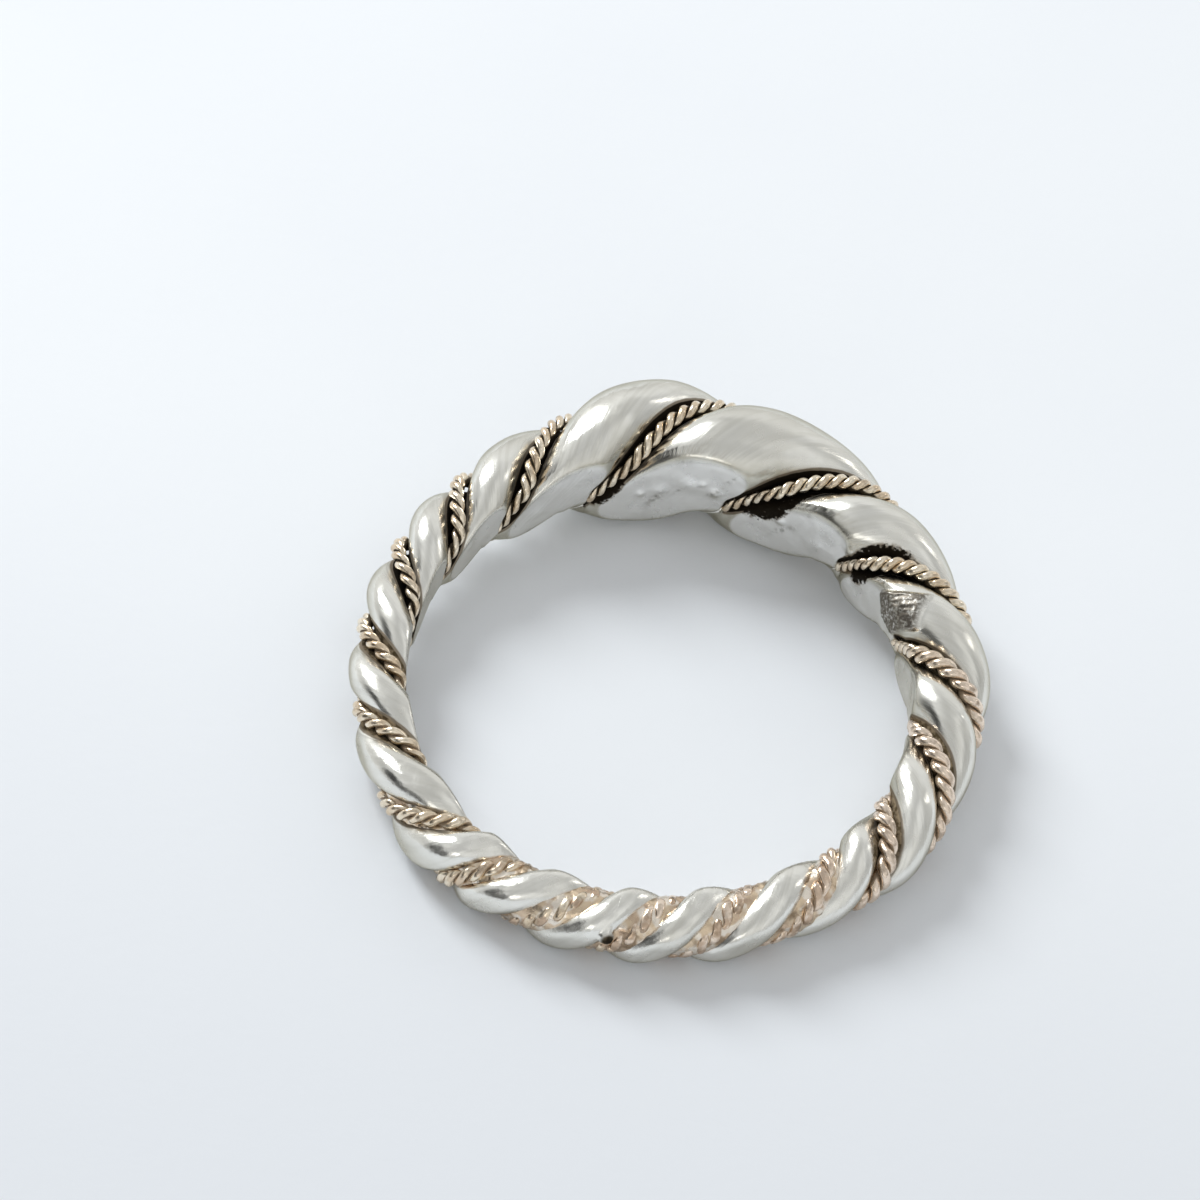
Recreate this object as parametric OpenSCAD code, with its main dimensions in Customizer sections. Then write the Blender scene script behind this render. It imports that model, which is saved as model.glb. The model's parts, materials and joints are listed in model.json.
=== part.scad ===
// Graduated twist ring: two tapering silver strands wound round each other into a thick front
// and a slim back, with a fine rope wire lying in each of the two grooves between them.
// The ring lies on its side as it would by itself, the thick front towards +Y, on z = 0.

/* [Ring] */
// Diameter of the finger hole
finger_d = 18.2; // [17:0.1:21]
// Depth to which the twist is filed away inside the finger hole, as a share of the twist's radius
file_share = 0.34; // [0.3:0.01:0.36]
// Thickness of the whole twist, 1 as on the real ring
bundle_scale = 1; // [0.95:0.01:1.1]
// How far the slim back is bent out of round, beside its joint
bent = 0.25; // [0:0.05:0.3]
// Gap left between neighbouring pieces
gap = 0.05; // [0.03:0.01:0.06]

/* [Silver strands] */
// Slim back: distance of a strand's middle from the twist's axis, as a share of the twist's radius
slim_offset = 0.475; // [0.46:0.005:0.49]
// Slim back: half the strand's width, as a share of the twist's radius
slim_half_width = 0.57; // [0.55:0.01:0.58]
// Thick front: distance of a strand's middle from the twist's axis, as a share of the twist's radius
thick_offset = 0.43; // [0.42:0.005:0.46]
// Thick front: half the strand's width, as a share of the twist's radius
thick_half_width = 0.73; // [0.66:0.01:0.73]

/* [Rope wires] */
// Diameter of a rope wire over both of its own twisted wires
rope_d = 0.62; // [0.58:0.01:0.62]
// Depth of the rope's outer edge below the strands' crowns at the thick front
rope_depth = 0.5; // [0.42:0.01:0.5]

/* [Rest] */
// Angle by which the thick front lifts the ring's plane off level as it lies on a table
rest_tilt = 4.1; // [0:0.05:8]

/* [Fineness] */
// Rings of points along a piece between one groove crossing and the next
rings_per_crossing = 9; // [8:1:9]
// Points across a strand's rounded side
crown_points = 15; // [13:2:15]
// Sides of a rope wire
rope_sides = 8; // [6:1:8]

/* [Hidden] */

// A row for each groove that crosses the top of the ring, clockwise as seen from above. The twist
// makes half a turn from one row to the next. The ends are joined half a row before the first.
ANGLE = 0; // where the groove crosses, in degrees round the finger from +X
WIDTH = 1; // width of the twist there
CROSSINGS = [
    [-98, 2.42],
    [-115, 2.42],
    [-130, 2.6],
    [-153, 2.42],
    [-173, 2.45],
    [-194, 2.7],
    [-214, 3.1],
    [-235, 3.85],
    [-264, 5.6],
    [-298, 4.75],
    [-323, 3.95],
    [-348, 3.65],
    [-368, 3.1],
    [-390, 3],
    [-407, 2.55],
    [-427, 2.45],
    [-443, 2.4]
];
rows = len(CROSSINGS);
bent_at = -114; // where the ring is bent out most, in degrees
half_turn = 180;
quarter_turn = 90;

finger_r = finger_d / 2;
rope_r = rope_d / 2;

// Radii of the twist at which the strands have the sections given for the slim back and thick front
slim_r = 1.2;
thick_r = 2.8;

// Rows go on round the ring past the last one.
function row(i) =
    let (trips = floor(i / rows))
    [CROSSINGS[i - trips * rows][ANGLE] - 360 * trips, CROSSINGS[i - trips * rows][WIDTH]];

// Smooth curve through the rows: s counts rows and may lie between two of them.
function smooth_row(s) =
    let (i = floor(s), t = s - i, a = row(i - 1), b = row(i), c = row(i + 1), d = row(i + 2))
    b + t * (c - a) / 2 + t * t * (a - 2.5 * b + 2 * c - d / 2) + t * t * t * (1.5 * (b - c) + (d - a) / 2);

function angle_at(s) = smooth_row(s)[ANGLE];
function radius_at(s) = bundle_scale * smooth_row(s)[WIDTH] / 2;

// How far a twist of radius r is on the way from the slim back's to the thick front's.
function thickness_share(r) = (r / bundle_scale - slim_r) / (thick_r - slim_r);
function graded(slim, thick, r) = slim + (thick - slim) * thickness_share(r);

// Radius of the finger hole, which is a little larger where the ring is bent out.
function hole_r(angle) = finger_r + bent * pow((1 + cos(angle - bent_at)) / 2, 12);

// Point of the ring lying level: out and up are measured in the twist's cross section, from its axis.
function ring_point(s, out, up) =
    let (angle = angle_at(s), from_axis = hole_r(angle) + (1 - file_share) * radius_at(s) + out)
    [from_axis * cos(angle), from_axis * sin(angle), up];

// What would stand into the finger hole is filed back to it. A point moves straight towards a
// middle that lies outside the hole.
function from_hole(p) = norm([p[0], p[1]]) - hole_r(atan2(p[1], p[0]));
function filed(p, middle) =
    let (share = from_hole(middle) / (from_hole(middle) - from_hole(p)))
    from_hole(p) < 0 ? middle + share * (p - middle) : p;

// Half a row before the first crossing, the two ends of every piece meet with the gap between them.
joint_row = -0.5;
row_length = (finger_r + radius_at(joint_row)) * (angle_at(joint_row) - angle_at(joint_row + 1)) * PI / 180;
end_gap = gap / 2 / row_length;
first = joint_row + end_gap;
last = joint_row + rows - end_gap;
ring_count = rows * rings_per_crossing;
STATIONS = [for (i = [0 : ring_count]) first + (last - first) * i / ring_count];

// Cross section of a strand, as [distance along its crown's direction, distance across it]: an
// oval cut off flat where it faces the other strand, with a last point in the flat's middle.
function strand_middle(r) = r * graded(slim_offset, thick_offset, r);
function strand_section(r) =
    let (
        middle = strand_middle(r),
        depth = r - middle,
        half_width = r * graded(slim_half_width, thick_half_width, r),
        flat_edge = acos((gap / 2 - middle) / depth)
    )
    concat(
        [for (j = [0 : crown_points - 1])
            let (turn = flat_edge * (2 * j / (crown_points - 1) - 1))
            [middle + depth * cos(turn), half_width * sin(turn)]],
        [[gap / 2, 0]]
    );

// The section at s, turned with the twist. The crown of strand 0 points outwards where s = 0.
function strand_ring(s, strand) =
    let (
        turn = half_turn * (s + strand) + quarter_turn,
        from_twist = strand_middle(radius_at(s)),
        middle = ring_point(s, from_twist * sin(turn), from_twist * cos(turn))
    )
    [for (p = strand_section(radius_at(s)))
        let (out = p[0] * sin(turn) + p[1] * cos(turn), up = p[0] * cos(turn) - p[1] * sin(turn))
        filed(ring_point(s, out, up), middle)];

// Middle of the rope wire that lies in the groove before a strand's crown. The ropes lie nearly
// flush in the slim back and sink in ever faster towards the thick front.
function rope_middle(s, rope) =
    let (
        turn = half_turn * (s + rope),
        r = radius_at(s),
        seat = r - rope_r - rope_depth * pow(max(0, thickness_share(r)), 1.5)
    )
    ring_point(s, seat * sin(turn), seat * cos(turn));

function unit(v) = v / norm(v);

// Round section of a rope wire, square to the way it runs.
function rope_ring(s, rope) =
    let (
        step = 0.01,
        middle = rope_middle(s, rope),
        along = unit(rope_middle(s + step, rope) - rope_middle(s - step, rope)),
        axis = ring_point(s, 0, 0),
        side = unit(cross(along, middle - axis)),
        up = cross(side, along),
        outer = middle + 0.9 * rope_r * unit([middle[0], middle[1], 0])
    )
    [for (j = [0 : rope_sides - 1])
        let (turn = 360 * j / rope_sides)
        filed(middle + rope_r * (cos(turn) * side + sin(turn) * up), outer)];

// Faces of a tube of rings with n points each and both ends closed. The quads of the last column
// are split the other way, so that the flats of both strands are creased alike and stay apart.
function tube_faces(n, rings) = concat(
    [[for (j = [n - 1 : -1 : 0]) j]],
    [for (i = [0 : rings - 2], j = [0 : n - 1])
        let (a = i * n + j, b = i * n + (j + 1) % n, c = b + n, d = a + n)
        each j == n - 1 ? [[a, b, c], [a, c, d]] : [[a, b, d], [b, c, d]]],
    [[for (j = [0 : n - 1]) (rings - 1) * n + j]]
);

strand_points = [for (strand = [0, 1]) [for (s = STATIONS) each strand_ring(s, strand)]];
rope_points = [for (rope = [0, 1]) [for (s = STATIONS) each rope_ring(s, rope)]];

// The level ring is tipped until its thick front and its slim back both touch the table, and
// moved so that the origin is in the middle of its box, on the table.
function tipped_y(p) = p[1] * cos(rest_tilt) - p[2] * sin(rest_tilt);
function tipped_z(p) = p[1] * sin(rest_tilt) + p[2] * cos(rest_tilt);
all_points = [for (piece = concat(strand_points, rope_points)) each piece];
tipped_points = [for (p = all_points) [p[0], tipped_y(p), tipped_z(p)]];
function lowest(k) = min([for (p = tipped_points) p[k]]);
function highest(k) = max([for (p = tipped_points) p[k]]);
rest_place = [-(lowest(0) + highest(0)) / 2, -(lowest(1) + highest(1)) / 2, -lowest(2)];

module at_rest() {
    translate(rest_place) rotate([rest_tilt, 0, 0]) children();
}

module silver_strand(strand) {
    color("silver") at_rest()
        polyhedron(strand_points[strand], tube_faces(crown_points + 1, len(STATIONS)), convexity = 10);
}

module rope_wire(rope) {
    color("tan") at_rest()
        polyhedron(rope_points[rope], tube_faces(rope_sides, len(STATIONS)), convexity = 10);
}

module silver_strand_1() { silver_strand(0); }
module silver_strand_2() { silver_strand(1); }
module rope_wire_1() { rope_wire(0); }
module rope_wire_2() { rope_wire(1); }

silver_strand_1();
silver_strand_2();
rope_wire_1();
rope_wire_2();
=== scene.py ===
# Graduated twist ring: two worn silver strands, a twisted rope wire of rose gold in each of the two
# grooves, black tarnish deep in the grooves, and solder over the joint at the slim back.
# The shapes are worked out in mm with the ring lying level, and then tipped to rest by REST. A place
# along the twist is s, which counts the groove crossings on the ring's top, clockwise from the back.
import json
import math

import bpy
import numpy as np
from mathutils import Matrix, Vector, noise


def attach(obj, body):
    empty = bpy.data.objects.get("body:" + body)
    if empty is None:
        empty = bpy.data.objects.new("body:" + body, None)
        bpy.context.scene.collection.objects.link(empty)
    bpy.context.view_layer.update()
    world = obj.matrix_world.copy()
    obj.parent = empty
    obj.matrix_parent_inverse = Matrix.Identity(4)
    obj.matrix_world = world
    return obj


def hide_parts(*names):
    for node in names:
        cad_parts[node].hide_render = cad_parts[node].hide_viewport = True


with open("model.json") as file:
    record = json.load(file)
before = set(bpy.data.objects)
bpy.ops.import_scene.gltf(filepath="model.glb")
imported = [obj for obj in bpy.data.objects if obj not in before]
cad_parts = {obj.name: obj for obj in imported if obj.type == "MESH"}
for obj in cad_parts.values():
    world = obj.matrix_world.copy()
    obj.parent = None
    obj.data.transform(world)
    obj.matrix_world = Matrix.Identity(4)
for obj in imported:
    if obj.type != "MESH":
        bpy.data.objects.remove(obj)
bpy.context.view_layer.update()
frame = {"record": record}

MM = 0.001

# Sizes of the ring in mm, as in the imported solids
FINGER_R = 9.1
FILE_SHARE = 0.34  # how much of the twist's radius is filed away inside the finger hole
GAP = 0.05
SLIM_R, THICK_R = 1.2, 2.8
SLIM_OFFSET, THICK_OFFSET = 0.475, 0.43
SLIM_HALF_WIDTH, THICK_HALF_WIDTH = 0.57, 0.73
ROPE_R = 0.31
ROPE_DEPTH = 0.5
BENT, BENT_AT = 0.25, math.radians(-114)  # how far the slim back is bent out of round, and where
BURNISHED = 0.72  # half width of a strand where its groove is burnished shut, as a share of the radius
FILED_EDGE = 0.02  # over which a filed face bends into what isn't filed

# The groove crossings on the ring's top, clockwise: degrees round the finger and width of the twist
CROSSINGS = np.array([
    (-98, 2.42),
    (-115, 2.42),
    (-130, 2.6),
    (-153, 2.42),
    (-173, 2.45),
    (-194, 2.7),
    (-214, 3.1),
    (-235, 3.85),
    (-264, 5.6),
    (-298, 4.75),
    (-323, 3.95),
    (-348, 3.65),
    (-368, 3.1),
    (-390, 3.0),
    (-407, 2.55),
    (-427, 2.45),
    (-443, 2.4),
])
ROWS = len(CROSSINGS)
JOINT_ROW = -0.5
SOLDER_RUN = 0.9  # how much further the solder has run on the right side of the joint, in crossings

# How the ring lies comes from its finger hole in the record
HOLE = frame["record"]["mounts"][0]
HOLE_MIDDLE = Vector(HOLE["pos_m"])
REST_TILT = math.atan2(-HOLE["axis"][1], HOLE["axis"][2])
REST = Matrix.Translation(HOLE_MIDDLE) @ Matrix.Rotation(REST_TILT, 4, "X")


def smooth_step(low, high, value):
    share = np.clip((value - low) / (high - low), 0, 1)
    return share * share * (3 - 2 * share)


def row(i):
    """Rows go on round the ring past the last one."""
    trips = i // ROWS
    return CROSSINGS[i - trips * ROWS] - trips[..., None] * (360, 0)


def smooth_row(s):
    """Angle in radians and radius of the twist at s, which counts groove crossings."""
    i = np.floor(s).astype(int)
    t = (s - i)[..., None]
    a, b, c, d = row(i - 1), row(i), row(i + 1), row(i + 2)
    value = b + t * (c - a) / 2 + t**2 * (a - 2.5 * b + 2 * c - d / 2) + t**3 * (1.5 * (b - c) + (d - a) / 2)
    return np.radians(value[..., 0]), value[..., 1] / 2


def thickness_share(r):
    """How far a twist of radius r is on the way from the slim back's to the thick front's."""
    return (r - SLIM_R) / (THICK_R - SLIM_R)


def rows_from_joint(s):
    """Distance from the soldered joint at the back, in groove crossings."""
    from_first = np.mod(s - JOINT_ROW, ROWS)
    return np.minimum(from_first, ROWS - from_first)


def rows_from_solder(s):
    """The same distance from where the solder has run."""
    from_first = np.mod(s - JOINT_ROW, ROWS)
    return np.minimum(from_first, np.maximum(ROWS - from_first - SOLDER_RUN, 0))


def closed(s, r):
    """How far the groove at the top for even s is burnished shut low inside the finger hole, which
    is from 0.86 to 0.6 of a crossing before the top, and only where the twist is thick."""
    from_top = np.mod(s + 1, 2) - 1
    share = smooth_step(-0.57, -0.63, from_top) * smooth_step(-0.90, -0.82, from_top)
    return share * smooth_step(1.2, 1.4, r)


def hole_radius(angle):
    """Radius of the finger hole, which is a little larger where the ring is bent out."""
    return FINGER_R + BENT * ((1 + np.cos(angle - BENT_AT)) / 2) ** 12


def ring_point(s, out, up):
    """A point of the level ring: out and up are measured in the twist's cross section, from its axis."""
    angle, r = smooth_row(s)
    from_axis = hole_radius(angle) + (1 - FILE_SHARE) * r + out
    return np.stack([from_axis * np.cos(angle), from_axis * np.sin(angle), up + 0 * from_axis], -1)


def unit(v):
    return v / np.linalg.norm(v, axis=-1, keepdims=True)


def noise_at(points, size, seed=0):
    """Smooth noise from -1 to 1 with bumps of about this size."""
    shift = Vector((seed * 17.3, seed * 5.1, seed * 9.7))
    flat = points.reshape(-1, 3) / size
    values = np.array([noise.noise(Vector(p) + shift) for p in flat.tolist()])
    return values.reshape(points.shape[:-1])


def from_hole(points):
    """Distance of points outwards from the finger hole's wall."""
    x, y = points[..., 0], points[..., 1]
    return np.hypot(x, y) - hole_radius(np.arctan2(y, x))


def kept_over(value, least, edge):
    """The value, but never under the least one, with a soft bend of this width between them."""
    over = value - least
    return least + (over + np.sqrt(over**2 + edge**2)) / 2


def filed(points, middles, edge=FILED_EDGE):
    """What would stand into the finger hole is filed back to it, with a softly worn edge. Points
    move straight towards middles that lie outside the hole."""
    over, room = from_hole(points), from_hole(middles)
    share = (room - kept_over(over, 0.0, edge)) / np.maximum(room - over, 1e-6)
    return np.where((over < 0.5 * room)[..., None], middles + share[..., None] * (points - middles), points)


def surface_normals(rings):
    """Normals of a grid of rings that are closed round."""
    along = np.gradient(rings, axis=0)
    around = np.roll(rings, -1, axis=1) - np.roll(rings, 1, axis=1)
    return unit(np.cross(around, along))


def tube_mesh(name, tubes, material, masks):
    """One object made of closed tubes. tubes holds arrays of rings. masks maps the names of point
    attributes, which the material reads, to one array of values for each tube."""
    points, faces, start = [], [], 0
    for rings in tubes:
        count, sides = rings.shape[:2]
        i, j = np.meshgrid(np.arange(count - 1), np.arange(sides), indexing="ij")
        a = start + i * sides + j
        b = start + i * sides + (j + 1) % sides
        faces += np.stack([a, b, b + sides, a + sides], -1).reshape(-1, 4).tolist()
        faces.append(list(range(start + sides - 1, start - 1, -1)))
        faces.append(list(range(start + (count - 1) * sides, start + count * sides)))
        points.append(rings.reshape(-1, 3))
        start += count * sides
    mesh = bpy.data.meshes.new(name)
    mesh.from_pydata((np.concatenate(points) * MM).tolist(), [], faces)
    for mask, values in masks.items():
        layer = mesh.attributes.new(mask, "FLOAT", "POINT")
        layer.data.foreach_set("value", np.concatenate([v.ravel() for v in values]).astype(np.float32))
    mesh.transform(REST)
    mesh.polygons.foreach_set("use_smooth", np.ones(len(mesh.polygons), dtype=bool))
    mesh.materials.append(material)
    mesh.validate()
    mesh.update()
    piece = bpy.data.objects.new(name, mesh)
    bpy.context.scene.collection.objects.link(piece)
    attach(piece, "root")
    return piece


# Materials


class Nodes:
    """Short calls to build the nodes of a material or of the room."""

    def __init__(self, tree, place):
        self.tree = tree
        self.place = self.add("ShaderNodeTexCoord").outputs[place]

    def add(self, kind, **values):
        node = self.tree.nodes.new(kind)
        for name, value in values.items():
            setattr(node, name, value)
        return node

    def put(self, socket, value):
        if isinstance(value, bpy.types.NodeSocket):
            self.tree.links.new(value, socket)
        else:
            socket.default_value = value

    def noise(self, place, scale, detail, rough=0.5):
        node = self.add("ShaderNodeTexNoise")
        self.put(node.inputs["Vector"], place)
        node.inputs["Scale"].default_value = scale
        node.inputs["Detail"].default_value = detail
        node.inputs["Roughness"].default_value = rough
        return node.outputs["Fac"]

    def math(self, operation, a, b=0.0, clamp=False):
        node = self.add("ShaderNodeMath", operation=operation, use_clamp=clamp)
        self.put(node.inputs[0], a)
        self.put(node.inputs[1], b)
        return node.outputs[0]

    def times(self, a, b):
        return self.math("MULTIPLY", a, b)

    def between(self, value, low, high, to_low=0.0, to_high=1.0):
        """A soft step from to_low at the value low to to_high at the value high."""
        node = self.add("ShaderNodeMapRange", interpolation_type="SMOOTHSTEP")
        self.put(node.inputs["Value"], value)
        node.inputs["From Min"].default_value = low
        node.inputs["From Max"].default_value = high
        node.inputs["To Min"].default_value = to_low
        node.inputs["To Max"].default_value = to_high
        return node.outputs["Result"]


class Surface(Nodes):
    """The nodes of a material. Sizes are in mm, and shares go from 0 to 1."""

    def __init__(self, name):
        self.material = bpy.data.materials.new(name)
        self.material.use_nodes = True
        super().__init__(self.material.node_tree, "Object")
        self.shader = self.tree.nodes["Principled BSDF"]

    def mask(self, name):
        return self.add("ShaderNodeAttribute", attribute_name=name).outputs["Fac"]

    def cloud(self, size, detail=3.0, rough=0.55):
        """Noise with clouds of this size."""
        return self.noise(self.place, 1 / (size * MM), detail, rough)

    def streaks(self, length, width, detail=3.0):
        """Noise drawn out along a strand."""
        place = self.add("ShaderNodeCombineXYZ")
        self.put(place.inputs["X"], self.math("DIVIDE", self.mask("run"), length))
        self.put(place.inputs["Y"], self.math("DIVIDE", self.mask("round"), width))
        return self.noise(place.outputs["Vector"], 1.0, detail)

    def scratches(self):
        """Noise drawn out across the ring, in one direction all round."""
        mapping = self.add("ShaderNodeMapping")
        self.put(mapping.inputs["Vector"], self.place)
        mapping.inputs["Rotation"].default_value = (1.1, -0.4, -0.7)
        mapping.inputs["Scale"].default_value = (9, 1, 9)
        return self.noise(mapping.outputs["Vector"], 1 / (0.6 * MM), 3.0, 0.7)

    def mix(self, share, a, b):
        node = self.add("ShaderNodeMix", data_type="RGBA")
        self.put(node.inputs[0], share)
        for socket, colour in ((node.inputs[6], a), (node.inputs[7], b)):
            self.put(socket, colour if isinstance(colour, bpy.types.NodeSocket) else (*colour, 1))
        return node.outputs[2]

    def sum(self, first, *rest):
        for value in rest:
            first = self.math("ADD", first, value)
        return first

    def broken(self, mask, size, amount):
        """A mask with a ragged edge."""
        rough = self.times(self.math("SUBTRACT", self.cloud(size, 4.0), 0.5), amount)
        return self.between(self.math("ADD", mask, rough), 0.3, 0.7)

    def bump(self, height, distance, under=None):
        """A normal bent by this height on top of another one."""
        node = self.add("ShaderNodeBump")
        node.inputs["Strength"].default_value = 1.0
        node.inputs["Distance"].default_value = distance * MM
        self.put(node.inputs["Height"], height)
        if under:
            self.put(node.inputs["Normal"], under)
        return node.outputs["Normal"]

    def finish(self, colour, metal, roughness, normal):
        self.put(self.shader.inputs["Base Color"], colour)
        self.put(self.shader.inputs["Metallic"], metal)
        self.put(self.shader.inputs["Roughness"], roughness)
        self.put(self.shader.inputs["Normal"], normal)
        return self.material


# Colours, as red, green and blue from 0 to 1
SILVER = (0.92, 0.91, 0.86)
SILVER_DULL = (0.67, 0.65, 0.58)
SILVER_OUTER = (0.50, 0.475, 0.39)
SILVER_FILED = (0.96, 0.955, 0.94)
GREY = (0.30, 0.285, 0.25)
DARK_GREY = (0.15, 0.13, 0.105)
TARNISH = (0.20, 0.15, 0.095)
BLACK = (0.010, 0.007, 0.004)
OLIVE_DARK = (0.11, 0.082, 0.045)
OLIVE = (0.36, 0.285, 0.19)
COPPER = (0.60, 0.45, 0.33)
GOLD = (0.76, 0.61, 0.44)
GOLD_PALE = (0.94, 0.84, 0.68)
GOLD_BROWN = (0.20, 0.135, 0.08)
ROSE = (0.90, 0.75, 0.625)
# Grime with painted shade, for the crevices of the rope wires
GRIME_AND_SHADE = (0.06, 0.043, 0.023)
GRIME_AND_SHADE_PALE = (0.38, 0.29, 0.20)
SOLDER_PALE = (0.93, 0.87, 0.78)


def silver_material():
    n = Surface("worn_silver")
    n.shader.inputs["Specular Tint"].default_value = (0.55, 0.525, 0.45, 1)
    n.shader.inputs["Specular IOR Level"].default_value = 0.2

    # Where it is dark
    stain = n.mask("stain")
    frayed = n.times(n.broken(stain, 0.16, 2.4), n.between(stain, 0.0, 0.12))
    black = n.math("MAXIMUM", n.broken(n.mask("oxide"), 0.35, 0.5), frayed)
    fringe = n.times(n.between(stain, 0.0, 0.4), n.between(n.cloud(0.3, 4.0, 0.65), 0.35, 0.6))
    brown = n.math("MAXIMUM", n.broken(n.mask("tarnish"), 0.4, 0.4), fringe)
    grey = n.times(n.mask("grey"), n.between(n.streaks(2.0, 0.16), 0.35, 0.65))
    smudge = n.times(n.mask("smudge"), n.between(n.cloud(0.35, 4.0, 0.65), 0.4, 0.6))
    recess = n.times(n.mask("recess"), n.between(n.cloud(0.14, 4.0, 0.7), 0.48, 0.64, 1.0, 0.25))

    # Colour
    filed_face = n.mask("filed")
    wear = n.between(n.cloud(2.2), 0.35, 0.7)
    smear = n.between(n.streaks(5.0, 0.45), 0.42, 0.68)
    outer = n.times(n.mask("outer"), n.between(n.cloud(1.4), 0.3, 0.6, 0.45, 0.9))
    dirt = n.mix(n.between(n.cloud(0.28, 4.0, 0.7), 0.42, 0.6), OLIVE_DARK, OLIVE)
    colour = SILVER
    for share, layer in (
        (n.times(wear, 0.4), SILVER_DULL),
        (n.times(smear, 0.3), SILVER_DULL),
        (outer, SILVER_OUTER),
        (n.times(filed_face, 0.8), SILVER_FILED),
        (n.times(n.broken(n.mask("copper"), 0.6, 0.7), 0.8), COPPER),
        (n.times(smudge, 0.8), GREY),
        (n.times(grey, 0.6), GREY),
        (n.times(recess, 0.95), DARK_GREY),
        (n.times(brown, 0.8), TARNISH),
        (black, n.mix(n.mask("olive"), BLACK, dirt)),
    ):
        colour = n.mix(share, colour, layer)

    # Roughness
    back = n.mask("back")
    rough = n.sum(
        n.between(n.cloud(1.1, rough=0.6), 0.3, 0.7, 0.15, 0.28),
        n.times(back, n.between(n.cloud(0.4), 0.3, 0.7, -0.03, 0.05)),
        n.times(filed_face, 0.10),
        n.times(n.mask("grey"), 0.18),
        n.times(n.mask("recess"), 0.22),
        n.times(brown, 0.35),
    )
    rough = n.math("ADD", rough, n.times(black, 0.5), clamp=True)

    # Fine relief
    normal = None
    for height, depth in (
        (n.cloud(1.6, 1.0, 0.5), 0.09),
        (n.times(n.cloud(0.45, rough=0.6), back), 0.014),
        (n.times(n.cloud(1.1, 2.0, 0.5), filed_face), 0.06),
        (n.streaks(4.0, 0.30, 2.0), 0.012),
        (n.streaks(1.5, 0.05, 2.0), 0.0016),
        (n.scratches(), 0.002),
    ):
        normal = n.bump(height, depth, under=normal)
    metal = n.math("SUBTRACT", 1.0, n.times(black, 0.9))
    return n.finish(colour, metal, rough, normal)


def rope_material():
    n = Surface("rose_gold_wire")
    n.shader.inputs["Specular IOR Level"].default_value = 0.3
    crevice = n.broken(n.mask("crevice"), 0.15, 0.4)
    melted = n.times(n.mask("worn"), n.between(n.cloud(0.6), 0.45, 0.6))
    colour = n.mix(n.between(n.cloud(0.8), 0.35, 0.65), GOLD, GOLD_PALE)
    colour = n.mix(n.times(n.mask("rosy"), 0.8), colour, ROSE)
    colour = n.mix(melted, colour, COPPER)
    colour = n.mix(n.times(n.between(n.cloud(0.35), 0.5, 0.7), 0.45), colour, GOLD_BROWN)
    # Grime and painted shade: dark between the two wires and on each wire's side that faces down into the
    # groove
    colour = n.mix(crevice, colour, n.mix(n.mask("pale_grime"), GRIME_AND_SHADE, GRIME_AND_SHADE_PALE))
    rough = n.between(n.cloud(0.3), 0.3, 0.7, 0.16, 0.3)
    rough = n.math("ADD", rough, n.times(crevice, 0.4), clamp=True)
    normal = n.bump(n.cloud(0.22, 2.0, 0.5), 0.016)
    metal = n.math("SUBTRACT", 1.0, n.times(crevice, 0.8))
    return n.finish(colour, metal, rough, normal)


def solder_material():
    n = Surface("solder")
    pale = n.between(n.cloud(0.7, 2.0), 0.48, 0.60)
    grime = n.between(n.cloud(0.9, rough=0.6), 0.50, 0.66)
    hole = n.mask("hole")
    colour = n.mix(n.between(n.cloud(0.8), 0.35, 0.6), COPPER, GOLD)
    colour = n.mix(n.times(grime, 0.75), colour, GOLD_BROWN)
    colour = n.mix(n.times(pale, 0.8), colour, SOLDER_PALE)
    colour = n.mix(hole, colour, BLACK)
    rough = n.between(n.cloud(0.4), 0.3, 0.7, 0.18, 0.34)
    rough = n.math("ADD", rough, n.times(hole, 0.5), clamp=True)
    normal = n.bump(n.cloud(0.35), 0.035)
    normal = n.bump(n.cloud(0.1, 2.0, 0.6), 0.006, under=normal)
    return n.finish(colour, 1.0, rough, normal)


# Silver strands

CROWN_POINTS = 86
FLAT_POINTS = 10
STRAND_STEP = 0.105  # mm from one ring of points to the next
END_STEP = 0.003  # mm from each end to the ring next to it, so that the ends stay sharp
BULK = 0.15  # how much thicker the twist was at the slim back before it was worn flat
WORN_EDGE = 0.13  # mm in which the worn faces bend into what is round
BUMPS, BUMP_SIZE = 0.014, 1.3  # mm by which the silver is uneven, and the size of its soft bumps
CROWN_R = 0.66  # mean radius of a strand's crown, as a share of the twist's radius
STREAK_SHIFT = 200.0  # mm, so that the strands' streaks differ


def strand_stations():
    """Places along a strand that are evenly spaced on its crown."""
    s = np.linspace(JOINT_ROW, JOINT_ROW + ROWS, ROWS * 60 + 1)
    angle, r = smooth_row(s)
    turn = np.pi * s + np.pi / 2
    crown = ring_point(s, r * np.sin(turn), r * np.cos(turn))
    length = np.concatenate([[0], np.cumsum(np.linalg.norm(np.diff(crown, axis=0), axis=1))])
    wanted = np.linspace(0, length[-1], int(length[-1] / STRAND_STEP))
    near_ends = [END_STEP, length[-1] - END_STEP]
    return np.interp(np.sort(np.concatenate([wanted, near_ends])), length, s)


def section_middle(r):
    """Distance of a strand's middle from the twist's axis."""
    return r * (SLIM_OFFSET + (THICK_OFFSET - SLIM_OFFSET) * thickness_share(r))


def section_half_width(r):
    return r * (SLIM_HALF_WIDTH + (THICK_HALF_WIDTH - SLIM_HALF_WIDTH) * thickness_share(r))


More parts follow.
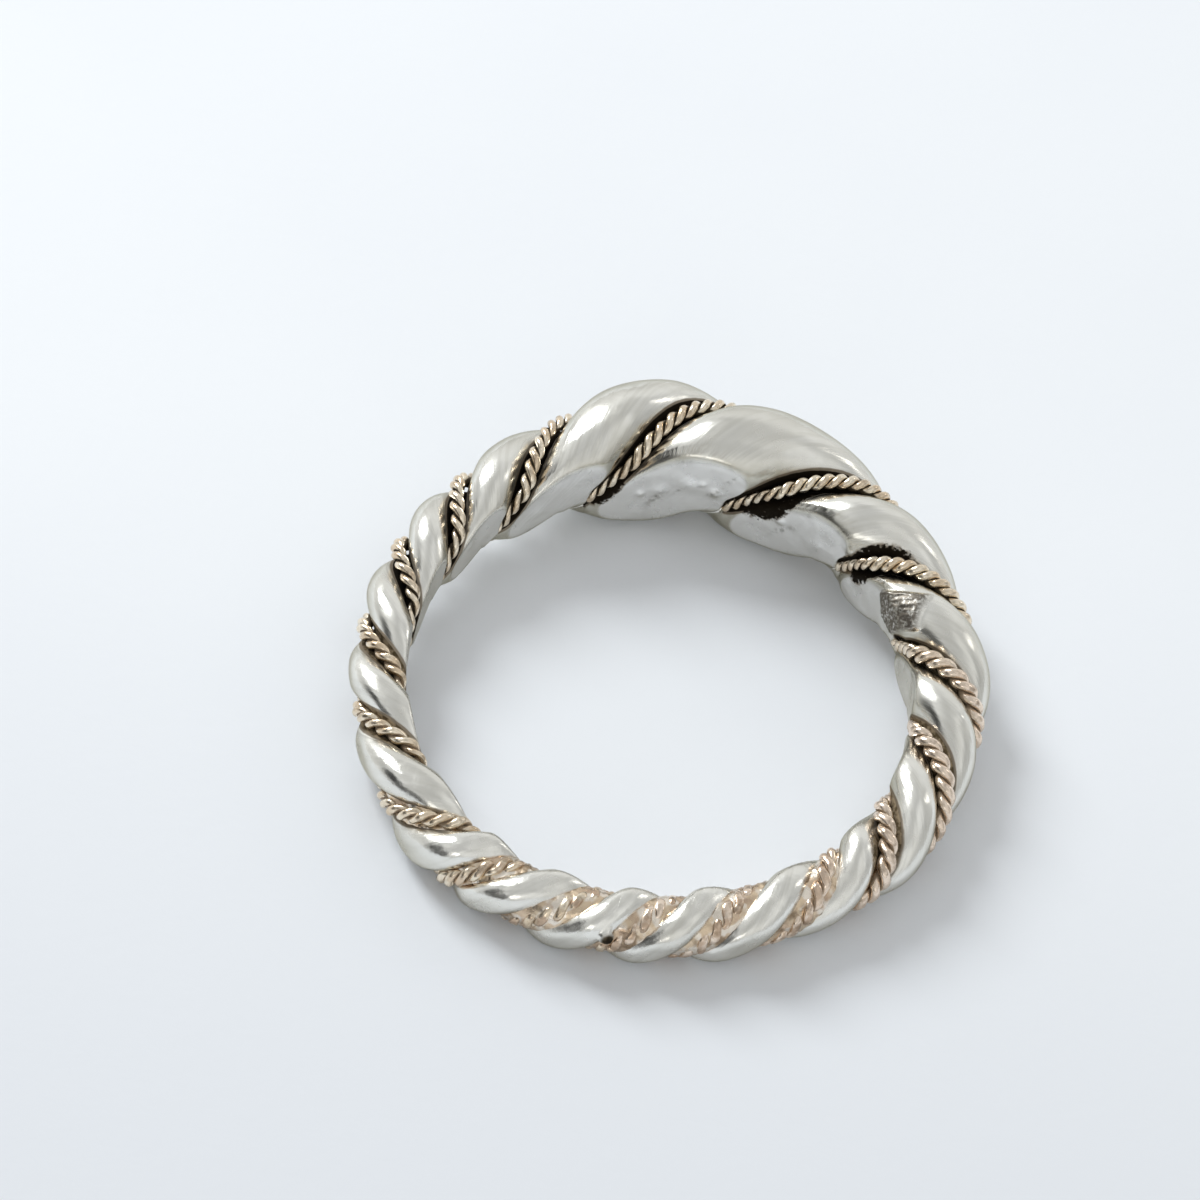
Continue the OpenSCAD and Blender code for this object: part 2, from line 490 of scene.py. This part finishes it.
def section(r, closed_before, closed_after):
    """Distances of a strand's points along and across its crown's direction, and the turn off the crown."""
    middle, half_width = section_middle(r), section_half_width(r)
    flat_edge = np.arccos((GAP / 2 - middle) / (r - middle))
    turn = flat_edge * np.linspace(-1, 1, CROWN_POINTS)
    # A closed groove's wall is widened to a square rim that meets the other strand's
    share, off = np.where(turn < 0, closed_before, closed_after), np.abs(turn)
    along = middle + (r - middle) * np.cos(turn) - share * GAP / 2 * smooth_step(1.6, 2.3, off)
    across = half_width * np.sin(turn)
    rim = np.sign(turn) * np.maximum(half_width, BURNISHED * r)
    across = across + share * smooth_step(1.0, 1.8, off) * (rim - across)
    back = np.linspace(0, 1, FLAT_POINTS + 2)[1:-1]
    return (
        np.concatenate([along, along[:, -1:] * (1 - back) + along[:, :1] * back], 1),
        np.concatenate([across, across[:, -1:] * (1 - back) + across[:, :1] * back], 1),
        np.concatenate([turn, flat_edge * (1 - 2 * back)], 1),
    )


def worn_flat(s):
    """Where the slim back is worn flat, from 0 to 1: at the first four crossings and the last two."""
    s = np.mod(s - JOINT_ROW, ROWS) + JOINT_ROW
    return np.maximum(smooth_step(5.0, 3.6, s), smooth_step(13.6, 15.0, s))


def squared(points, s, r):
    """The slim back is worn flat on its outer side, its top and its underside."""
    worn = worn_flat(s)
    x, y, height = points[..., 0], points[..., 1], points[..., 2]
    distance = np.hypot(x, y)
    limit = hole_radius(np.arctan2(y, x)) + r * (2 - FILE_SHARE) + WORN_EDGE / 3
    share = 1 - worn * (1 + kept_over(-distance, -limit, WORN_EDGE) / distance)
    level = -np.sign(height) * kept_over(-np.abs(height), -1.05 * r - WORN_EDGE / 3, WORN_EDGE)
    return np.stack([x * share, y * share, height + worn * (level - height)], -1)


# Dents and pits of the silver: strand, crossing, degrees off the crown, radius and depth in mm
DENTS = [
    (1, 7.95, 21, 0.30, 0.07),
    (1, 8.33, -88, 0.22, 0.10),
    (1, 8.15, -24, 0.35, 0.07),
    (1, 7.83, -11, 0.40, 0.05),
    (1, 7.80, 60, 0.16, 0.07),
    (1, 8.24, -45, 0.14, 0.06),
    (0, 8.80, 82, 0.20, 0.10),
    (0, 9.53, -93, 0.22, 0.10),
    (0, 9.15, -60, 0.30, 0.04),
    (0, 9.88, -108, 0.20, 0.06),
    (1, 10.55, -108, 0.20, 0.06),
    (0, 6.9, 20, 0.30, 0.04),
    (1, 5.9, 70, 0.20, 0.04),
    (0, 11.6, 10, 0.25, 0.04),
]

# Black that has crept out of a groove over the filed face: strand, side of the crown (-1 is the wall
# before a groove, 1 the wall after it), first and last crossing, and reach from the groove's middle in mm
STAINS = [
    (0, 1, 8.50, 9.02, 1.10),
    (0, -1, 9.40, 10.02, 0.98),
    (1, 1, 9.55, 9.95, 0.86),
    (1, 1, 7.35, 7.75, 0.72),
    (0, 1, 13.00, 13.72, 0.95),
]
STAIN_INSIDE, STAIN_OUTSIDE = 0.24, 0.30  # mm in which a stain fades, on both sides of its edge

# Grey smudges and scratches: strand, crossing, degrees off the crown, length and width in mm
SMUDGES = [
    (1, 7.93, 2, 0.90, 0.75),
    (1, 8.10, -25, 0.50, 0.45),
    (1, 8.33, -86, 0.60, 0.30),
    (1, 8.43, -66, 0.45, 0.30),
    (0, 8.85, 40, 0.80, 0.60),
    (1, 10.50, -112, 1.20, 0.22),
    (1, 10.75, -132, 1.00, 0.20),
]

# Width of the blackened part of a groove's walls beyond the rope wire, in mm, by crossing: on the
# wall before the groove and on the wall after it. Where it is negative, silver shows beside the rope.
BLACKENED = np.array([
    (-0.5, 0.12, 0.12),
    (2, 0.12, 0.12),
    (3, 0.20, 0.18),
    (4, 0.22, 0.26),
    (5, 0.20, 0.15),
    (6, 0.20, 0.14),
    (7, 0.22, 0.24),
    (8, 0.44, 0.17),
    (9, 0.40, 0.14),
    (10, 0.20, -0.08),
    (11, 0.18, -0.08),
    (12, 0.32, 0.02),
    (13, 0.32, 0.08),
    (14, 0.14, 0.04),
    (16.5, 0.12, 0.12),
])

# A small hole in the solder: crossing and degrees off the top of the twist, then its radius and
# depth in mm
PIT = (-0.42, 62)
PIT_R, PIT_DEPTH = 0.272, 0.3

# A shallow four-sided recess, left plain: its strand, the crossing and degrees off the crown of its
# middle, and its corners in mm along the strand and round it
RECESS = (1, 10.40, -29)
RECESS_CORNERS = [(-1.60, 0.86), (0.72, 0.66), (0.84, -0.76), (-1.20, -0.80)]
RECESS_DEPTH = 0.24
RECESS_WALL = (-0.03, 0.12)  # mm inside its outline where its wall starts and ends
RECESS_REACH = 0.9  # mm up and down within which the surface belongs to it


def nearest(turn, where, off):
    """Ring and point of the grid at a crossing and an angle off the crown."""
    i = np.abs(STATIONS - where).argmin()
    return i, np.abs(turn[i, :CROWN_POINTS] - math.radians(off)).argmin()


def recessed(rings, normals, i, j):
    """Presses the recess with its rough floor into the surface."""
    middle, up = rings[i, j], normals[i, j]
    along = unit(rings[i + 2, j] - rings[i - 2, j])
    across = np.cross(up, along)
    offset = rings - middle
    x, y = offset @ along, offset @ across
    inside = (np.abs(offset @ up) < RECESS_REACH) * ((normals @ up) > 0) * 1.0
    for k, (x0, y0) in enumerate(RECESS_CORNERS):
        x1, y1 = RECESS_CORNERS[(k + 1) % 4]
        length = math.hypot(x1 - x0, y1 - y0)
        within = ((y1 - y0) * (x - x0) - (x1 - x0) * (y - y0)) / length
        inside = inside * smooth_step(*RECESS_WALL, within)
    floor = 0.04 * noise_at(rings, 0.34, 11) + 0.05 * noise_at(rings, 0.15, 12)
    return rings - (inside * (RECESS_DEPTH + floor))[..., None] * up, inside


def stained(strand, s, turn, along):
    """A mask of the black bands on the filed faces, soft so that the material can fray its edge."""
    mask = np.zeros_like(along)
    for which, side, first, last, reach in STAINS:
        if which == strand:
            share = np.sin(np.pi * np.clip((s - first) / (last - first), 0, 1)) ** 0.7
            band = smooth_step(reach * share + STAIN_OUTSIDE, reach * share - STAIN_INSIDE, along)
            mask = np.maximum(mask, band * smooth_step(0.0, 0.3, share) * (side * turn > 0))
    return mask


def blots(table, strand, turn, r):
    """A mask of soft spots at the places in a table."""
    mask = np.zeros_like(turn)
    for which, where, off, length, width in table:
        if which == strand:
            i, j = nearest(turn, where, off)
            run = STRAND_STEP * (np.arange(len(turn))[:, None] - i)
            mask = np.maximum(mask, np.exp(-((run / length) ** 2) - ((turn - turn[i, j]) * r / width) ** 2))
    return mask


def pitted(rings, normals):
    """Presses the small hole into a surface, and gives a mask of it."""
    s, off = np.array(PIT[0]), math.radians(PIT[1])
    r = smooth_row(s)[1]
    pit = ring_point(s, r * np.sin(off), r * np.cos(off))
    hole = np.exp(-((np.linalg.norm(rings - pit, axis=-1) / PIT_R) ** 4))
    return rings - (PIT_DEPTH * hole)[..., None] * normals, hole


def pale_grime(s):
    """Where the tarnish in the grooves is brown and not black: at the sides and the back."""
    return np.maximum(smooth_step(4.7, 3.7, s), smooth_step(10.4, 11.2, s))


def strand_piece(strand, material):
    # The twist's section, filed inside the finger hole and worn flat at the slim back
    s = STATIONS[:, None]
    r = smooth_row(s)[1]
    closed_before, closed_after = closed(s + strand, r), closed(s + strand + 1, r)
    along, across, turn = section(r * (1 + BULK * worn_flat(s)), closed_before, closed_after)
    crown_turn = np.pi * (s + strand) + np.pi / 2
    out = along * np.sin(crown_turn) + across * np.cos(crown_turn)
    up = along * np.cos(crown_turn) - across * np.sin(crown_turn)
    from_twist = section_middle(r)
    middles = ring_point(s, from_twist * np.sin(crown_turn), from_twist * np.cos(crown_turn))
    rings = ring_point(s + 0 * along, out, up)
    file_marks = smooth_step(0.02, -0.08, from_hole(rings))
    filed_edge = FILED_EDGE + 0.10 * smooth_step(1.2, 2.4, r)  # rounder at the thick front
    rings = squared(filed(rings, middles, filed_edge), s, r)

    # Bumps, dents, the recess and the small hole
    normals = surface_normals(rings)
    rings = rings + normals * BUMPS * noise_at(rings, BUMP_SIZE, strand)[..., None]
    for which, where, off, radius, depth in DENTS:
        if which == strand:
            far = np.linalg.norm(rings - rings[nearest(turn, where, off)], axis=-1) / radius
            rings = rings - normals * (depth * np.exp(-far**2))[..., None]
    recess = np.zeros_like(along)
    if strand == RECESS[0]:
        rings, recess = recessed(rings, surface_normals(rings), *nearest(turn, *RECESS[1:]))
    rings, hole = pitted(rings, normals)

    # Tarnish on the walls of the grooves, which stays off the filed faces and the soldered joint
    near_joint = rows_from_joint(s) + 0 * along
    before = np.interp(s, BLACKENED[:, 0], BLACKENED[:, 1])
    after = np.interp(s, BLACKENED[:, 0], BLACKENED[:, 2])
    reach = ROPE_R * rope_width(s) + np.where(turn < 0, before, after)
    clean = 1 - file_marks * smooth_step(0.3, 0.6, along)
    clean = clean * (1 - np.where(turn < 0, closed_before, closed_after))
    black = smooth_step(1.6, 3.2, rows_from_solder(s)) * clean
    away = unit(ring_point(s, 1.0, 0.0) - ring_point(s, 0.0, 0.0))
    facing_out = (surface_normals(rings) * away).sum(-1)
    # What the material reads, where "run" and "round" are places in mm along and round the strand
    masks = {
        "oxide": np.maximum(smooth_step(reach + 0.06, reach - 0.06, along) * black, hole),
        "tarnish": smooth_step(reach + 0.25, reach, along) * np.maximum(black, 0.6 * clean),
        "stain": stained(strand, s, turn, along),
        "outer": smooth_step(0.35, 0.95, facing_out) * (1 - worn_flat(s)),
        "smudge": blots(SMUDGES, strand, turn, r),
        "recess": recess,
        "olive": pale_grime(s) * (1 - hole),
        "back": smooth_step(4.5, 2.5, near_joint),
        "copper": smooth_step(0.9, 0.35, along) * smooth_step(3.4, 1.4, near_joint) * (1 - 0.8 * file_marks),
        "grey": smooth_step(1.1, 0.5, along) * (turn < 0) * clean * smooth_step(1.5, 3.5, near_joint),
        "filed": file_marks,
        "run": STRAND_STEP * np.arange(len(s))[:, None] + STREAK_SHIFT * strand + 0 * along,
        "round": turn * r * CROWN_R,
    }
    masks = {name: [values] for name, values in masks.items()}
    piece = tube_mesh(f"silver_strand_{strand + 1}_worn", [rings], material, masks)
    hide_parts(f"silver_strand_{strand + 1}")


# Rope wires

WIRE_SIDES = 12
WIRE_STEP = 0.06  # mm from one ring of points to the next
WIRE_OVERLAP = 1.04  # how much thicker the two wires are than half of the rope, so that they touch
ROPE_LEAN = 0.07  # mm by which the ropes on the right side lean against the wall after them
ROPE_FROM_HOLE = 0.2  # mm that a rope's middle keeps from the finger hole's wall
MELTED_AWAY = 0.35  # share of a rope's radius that is melted away at the joint

# Crossing, length in mm in which the two wires of a rope make a full turn there, and share of the
# rope's usual width
LAY = np.array([
    (-0.5, 1.30, 1.00),
    (3, 1.40, 0.92),
    (5, 1.40, 0.90),
    (7, 1.30, 0.92),
    (8, 1.25, 0.94),
    (9, 1.00, 0.94),
    (10, 0.95, 0.98),
    (11, 1.25, 1.12),
    (13, 1.40, 1.14),
    (16.5, 1.30, 1.00),
])


def rope_width(s):
    return np.interp(s, LAY[:, 0], LAY[:, 2])


def rope_middle(s, rope):
    r = smooth_row(s)[1]
    turn = np.pi * (s + rope)
    seat = r - ROPE_R - ROPE_DEPTH * np.maximum(thickness_share(r), 0) ** 1.5
    buried = closed(s + rope, r)
    rim = np.maximum(section_half_width(r), BURNISHED * r)
    seat = seat - buried * np.maximum(seat + ROPE_R + 0.05 - rim, 0)
    lean = ROPE_LEAN * smooth_step(9.6, 10.2, s) * smooth_step(13.8, 13.0, s)
    out = seat * np.sin(turn) - lean * np.cos(turn)
    up = seat * np.cos(turn) + lean * np.sin(turn)
    middle = ring_point(s, out, up)
    over = from_hole(middle)
    # Inside the finger hole the rope is pressed down into its groove, further where that is shut
    pressed = kept_over(over, ROPE_FROM_HOLE * (1 + buried), 0.08) - over
    return middle + pressed[..., None] * unit(middle * (1, 1, 0))


def rope_frame(s, rope):
    """Middle, outward direction and sideways direction of a rope at each s."""
    middle = rope_middle(s, rope)
    along = unit(rope_middle(s + 0.01, rope) - rope_middle(s - 0.01, rope))
    side = unit(np.cross(along, middle - ring_point(s, 0, 0)))
    return middle, np.cross(side, along), side


def even_stations(middle_at, first, last, step):
    """Evenly spaced places along a line from s first to last, and their distances from its start."""
    s = np.linspace(first, last, 4000)
    length = np.concatenate([[0], np.cumsum(np.linalg.norm(np.diff(middle_at(s), axis=0), axis=1))])
    wanted = np.linspace(0, length[-1], int(length[-1] / step))
    return np.interp(wanted, length, s), wanted


def rope_piece(rope, material):
    s, length = even_stations(lambda q: rope_middle(q, rope), JOINT_ROW, JOINT_ROW + ROWS, WIRE_STEP)
    middle, outward, side = rope_frame(s, rope)
    melted = smooth_step(2.6, 1.0, rows_from_solder(s))[:, None]
    thinner = 1 - 0.2 * smooth_step(0.45, 0.2, from_hole(middle))
    wire_r = ROPE_R / 2 * thinner * rope_width(s)
    lay_phase = 2 * np.pi * np.cumsum(np.gradient(length) / np.interp(s, LAY[:, 0], LAY[:, 1]))
    hidden_side = middle + (0.9 * ROPE_R) * unit(middle * (1, 1, 0))
    round_wire = np.linspace(0, 2 * np.pi, WIRE_SIDES, endpoint=False)
    tubes, crevices, worn, rosy, pale = [], [], [], [], []
    rough_end = smooth_step(5.2, 2.2, rows_from_joint(s))[:, None]
    for half in (0, np.pi):
        lay = half - lay_phase
        wire = middle + wire_r[:, None] * (np.cos(lay)[:, None] * outward + np.sin(lay)[:, None] * side)
        wire = wire + (0.012 + 0.08 * melted) * noise_at(wire, 0.5, 20 + rope)[:, None] * (outward + side)
        uneven = 1 + (0.05 + 0.25 * rough_end) * noise_at(wire, 0.33, 30)[:, None]
        thick = (WIRE_OVERLAP * wire_r[:, None] * uneven)[..., None]
        run = unit(np.gradient(wire, axis=0))
        across = unit(np.cross(run, outward))
        rise = np.cross(across, run)
        flat = np.cos(round_wire)[None, :, None] * across[:, None]
        rings = wire[:, None] + thick * (flat + np.sin(round_wire)[None, :, None] * rise[:, None])
        offset = rings - middle[:, None]
        height = (offset * outward[:, None]).sum(-1)
        # The outer side is worn, and melted down at the joint
        limit = ROPE_R * (1.0 - MELTED_AWAY * melted)
        cut = np.minimum(0, limit - height)
        rings = rings + (cut * 0.8)[..., None] * outward[:, None]
        rings = filed(rings, hidden_side[:, None])
        from_middle = np.linalg.norm(offset, axis=-1) / (2 * wire_r[:, None])
        facing = height / ROPE_R
        # Painted shade with grime: darker between the two wires and on each wire's side that faces down into
        # the groove
        deep = np.clip(smooth_step(0.80, 0.55, from_middle) + smooth_step(0.1, -0.5, facing), 0, 1)
        crevices.append(deep * (1 - 0.35 * melted))
        rosy.append(smooth_step(10.3, 11.3, s)[:, None] + 0 * height)
        worn.append(melted + 0 * height)
        pale.append(pale_grime(s)[:, None] + 0 * height)
        tubes.append(rings)
    masks = {"crevice": crevices, "worn": worn, "rosy": rosy, "pale_grime": pale}
    piece = tube_mesh(f"rope_wire_{rope + 1}_twisted", tubes, material, masks)
    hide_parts(f"rope_wire_{rope + 1}")


# Solder over the joint

SOLDER_SIDES = 28
SOLDER_REACH = 3.2  # groove crossings on each side of the joint
SOLDER_HALF_WIDTH, SOLDER_MIDDLE = 0.74, 0.40  # shares of the twist's radius


def solder_piece(rope, material):
    """The solder in a groove: a bar that is round on its outer side and flatter on its inner side."""
    first, last = JOINT_ROW + ROWS - SOLDER_REACH, JOINT_ROW + ROWS + SOLDER_REACH
    s = even_stations(lambda q: rope_middle(q, rope), first, last, WIRE_STEP)[0]
    level = smooth_row(s)[1][:, None]
    r = level * (1 + 0.6 * BULK * worn_flat(s)[:, None])
    side = rope_frame(s, rope)[2]
    base = ring_point(s, 0, 0)
    turn = np.pi * (s + rope)
    outward = unit(ring_point(s, np.sin(turn), np.cos(turn)) - base)
    # It fills the groove near the joint, and stays lower at its ends
    fill = smooth_step(2.4, 1.0, rows_from_solder(s))[:, None]
    angle = np.linspace(0, 2 * np.pi, SOLDER_SIDES, endpoint=False)[None]
    wide = SOLDER_HALF_WIDTH * r * np.cos(angle)
    bulge = np.abs(np.sin(angle)) ** 1.2 * np.where(np.sin(angle) > 0, 1, -0.3)
    rise = r * (SOLDER_MIDDLE + (0.24 + 0.17 * fill) * bulge)
    rings = base[:, None] + wide[..., None] * side[:, None] + rise[..., None] * outward[:, None]
    lumps = 0.07 * noise_at(rings, 0.55, 5 + rope) + 0.03 * noise_at(rings, 0.2, 8 + rope)
    rings = rings + lumps[..., None] * outward[:, None]
    rings = filed(rings, base[:, None] + (0.1 * r)[..., None] * unit(base * (1, 1, 0))[:, None])
    # Inside the finger hole the solder stays a little below the silver
    sunk = 0.035 * smooth_step(0.08, 0.0, from_hole(rings))
    rings = rings + sunk[..., None] * unit(rings * (1, 1, 0))
    rings = squared(rings, s[:, None], level)
    rings, hole = pitted(rings, surface_normals(rings))
    piece = tube_mesh(f"solder_{rope + 1}", [rings], material, {"hole": [hole]})


STATIONS = strand_stations()
silver = silver_material()
rose_gold = rope_material()
solder = solder_material()
for which in (0, 1):
    strand_piece(which, silver)
    rope_piece(which, rose_gold)
    solder_piece(which, solder)

# Floor

FLOOR_HALF = 0.6  # m


def paper_floor():
    n = Surface("pale_paper")
    tone = n.between(n.cloud(30.0, 3.0), 0.3, 0.7)
    colour = n.mix(tone, (0.86, 0.885, 0.92), (0.88, 0.905, 0.935))
    split = n.add("ShaderNodeSeparateXYZ")
    n.put(split.inputs["Vector"], n.place)
    # Painted shade: the paper gets a little darker towards the camera
    colour = n.mix(n.between(split.outputs["Y"], 0.012, -0.03), colour, (0.77, 0.795, 0.835))
    normal = n.bump(n.cloud(0.6, 4.0), 0.01)
    material = n.finish(colour, 0.0, 0.85, normal)
    mesh = bpy.data.meshes.new("paper")
    corners = [(x * FLOOR_HALF, y * FLOOR_HALF, 0) for x, y in ((-1, -1), (1, -1), (1, 1), (-1, 1))]
    mesh.from_pydata(corners, [], [(0, 1, 2, 3)])
    mesh.materials.append(material)
    floor = bpy.data.objects.new("paper", mesh)
    bpy.context.scene.collection.objects.link(floor)


paper_floor()

# Light: a pale room, a soft window at the back left, and two weak lamps for small glints


def direction(azimuth, elevation):
    """Azimuth 0 is towards +Y and 90 towards +X. Both angles are in degrees."""
    a, e = math.radians(azimuth), math.radians(elevation)
    return Vector((math.sin(a) * math.cos(e), math.cos(a) * math.cos(e), math.sin(e)))


def soft_light(name, azimuth, elevation, distance, width, height, power, colour):
    """An oval lamp that shines at the ring. Its distance and sizes are in metres."""
    away = direction(azimuth, elevation)
    data = bpy.data.lights.new(name, "AREA")
    data.shape = "ELLIPSE"
    data.size = width
    data.size_y = height
    data.energy = power
    data.color = colour
    lamp = bpy.data.objects.new(name, data)
    lamp.location = away * distance
    lamp.rotation_mode = "QUATERNION"
    lamp.rotation_quaternion = away.to_track_quat("Z", "Y")
    bpy.context.scene.collection.objects.link(lamp)


# Azimuth, elevation, inner and outer radius in degrees, and brightness of the middle
DARK_THINGS = [
    (-105, 26, 10, 21, 0.10),
    (-136, 12, 11, 26, 0.20),
    (100, 0, 15, 45, 0.65),
]


def room():
    """A pale room with soft lighter and darker parts, and a few dark things in it."""
    world = bpy.data.worlds.new("room")
    bpy.context.scene.world = world
    world.use_nodes = True
    n = Nodes(world.node_tree, "Generated")
    strength = n.between(n.noise(n.place, 1.3, 1.0), 0.35, 0.65, 0.8, 1.2)
    for azimuth, elevation, inner, outer, least in DARK_THINGS:
        toward = n.add("ShaderNodeVectorMath", operation="DOT_PRODUCT")
        n.put(toward.inputs[0], n.place)
        n.put(toward.inputs[1], direction(azimuth, elevation))
        edge_from, edge_to = math.cos(math.radians(outer)), math.cos(math.radians(inner))
        strength = n.times(n.between(toward.outputs["Value"], edge_from, edge_to, 1.0, least), strength)
    background = n.tree.nodes["Background"]
    n.put(background.inputs["Strength"], strength)
    n.put(background.inputs["Color"], (0.655, 0.662, 0.66, 1))


room()
soft_light("window", -48, 40, 0.5, 0.18, 0.28, 1.60, (0.95, 0.98, 1.0))
soft_light("far_window", 58, 30, 0.6, 0.10, 0.20, 0.08, (1.0, 0.98, 0.95))
soft_light("lamp", -168, 22, 0.6, 0.16, 0.2, 0.1, (1.0, 0.99, 0.97))

# Camera, at the photo's angle

CAMERA_ELEVATION = math.radians(50.39)
CAMERA_DISTANCE = 0.150  # m
CAMERA_PAN = math.radians(1.149)
CAMERA_TILT = math.radians(1.202)
CAMERA_ROLL = math.radians(9.661)
CAMERA_LENS, CAMERA_SENSOR = 122.86, 36  # mm

camera_data = bpy.data.cameras.new("camera")
camera_data.sensor_width = CAMERA_SENSOR
camera_data.lens = CAMERA_LENS
camera_data.clip_start = 0.01
camera = bpy.data.objects.new("camera", camera_data)
bpy.context.scene.collection.objects.link(camera)
back_from_ring = Vector((0, -math.cos(CAMERA_ELEVATION), math.sin(CAMERA_ELEVATION)))
camera.matrix_world = (
    Matrix.Translation(back_from_ring * CAMERA_DISTANCE)
    @ Matrix.Rotation(math.pi / 2 - CAMERA_ELEVATION, 4, "X")
    @ Matrix.Rotation(CAMERA_PAN, 4, "Y")
    @ Matrix.Rotation(CAMERA_TILT, 4, "X")
    @ Matrix.Rotation(CAMERA_ROLL, 4, "Z")
)
bpy.context.scene.camera = camera
bpy.context.scene.view_settings.view_transform = "Standard"
